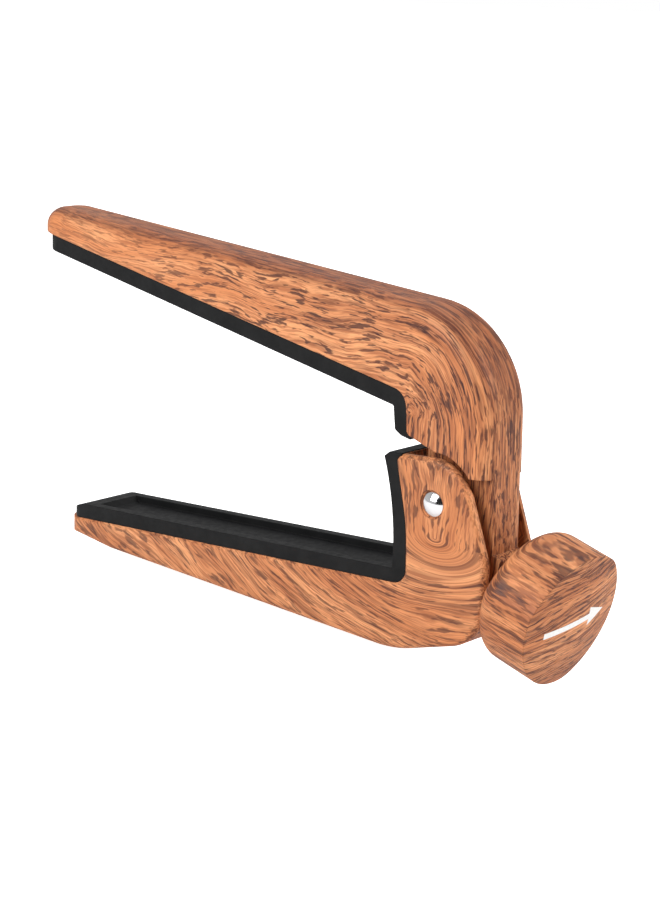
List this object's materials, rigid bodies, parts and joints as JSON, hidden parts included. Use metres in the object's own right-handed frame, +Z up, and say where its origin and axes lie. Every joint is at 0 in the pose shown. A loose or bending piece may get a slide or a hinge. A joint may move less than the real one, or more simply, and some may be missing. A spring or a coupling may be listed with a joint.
{
  "type": "guitar capo",
  "caption": "Clamp-on guitar capo: two hinged arms with rubber pads, a rear screw knob that closes the lower arm and a spring that opens it.",
  "frame": {"origin": "on the flat underside of the lower arm, in the mid plane, 30 mm in front of the hinge pin (towards the arm tips)", "axes": "+X from the arm tips to the knob, +Y across the width along the hinge pin, +Z up from the lower arm to the upper arm"},
  "size_m": [0.1001, 0.0179, 0.0493],
  "materials": {
    "wood_print": "satin printed wood-grain film on die-cast alloy",
    "pad_rubber": "matt",
    "polished_steel": "polished",
    "spring_steel": "bright drawn",
    "screw_steel": "zinc plated",
    "bronze": "turned",
    "nylon": "matt"
  },
  "bodies": {
    "frame": {"upper_arm": "wood_print", "string_pad": "pad_rubber", "pivot_bush_near": "bronze", "pivot_bush_far": "bronze", "return_spring": "spring_steel"},
    "jaw": {"lower_arm": "wood_print", "neck_pad": "pad_rubber", "pivot_barrel": "polished_steel", "pivot_screw": "polished_steel", "thrust_washer_near": "nylon", "thrust_washer_far": "nylon", "bearing_plate": "spring_steel"},
    "foot": {"pressure_foot": "bronze", "foot_ring": "spring_steel"},
    "screw": {"adjusting_screw": "screw_steel", "knob": "wood_print", "knob_insert": "bronze"}
  },
  "joints": [
    {"name": "jaw_pivot", "type": "hinge", "parent": "frame", "child": "jaw", "pos_m": [0.03, 0, 0.0211], "axis": [0, 1, 0], "range_deg": [-2.6, 13.6], "deforming": ["return_spring"]},
    {"name": "screw_advance", "type": "slide", "parent": "frame", "child": "foot", "axis": [-0.9703, 0, 0.2419], "range_m": [-0.0003, 0.00167]},
    {"name": "knob_spin", "type": "hinge", "parent": "foot", "child": "screw", "pos_m": [0.04058, 0, 0.01145], "axis": [-0.9703, 0, 0.2419], "range_deg": [-180.1, 1000]}
  ],
  "couplings": [
    {"joint": "knob_spin", "follows": "screw_advance", "rad_per_m": 10472},
    {"joint": "jaw_pivot", "follows": "screw_advance", "rad_per_m": 141.38}
  ]
}
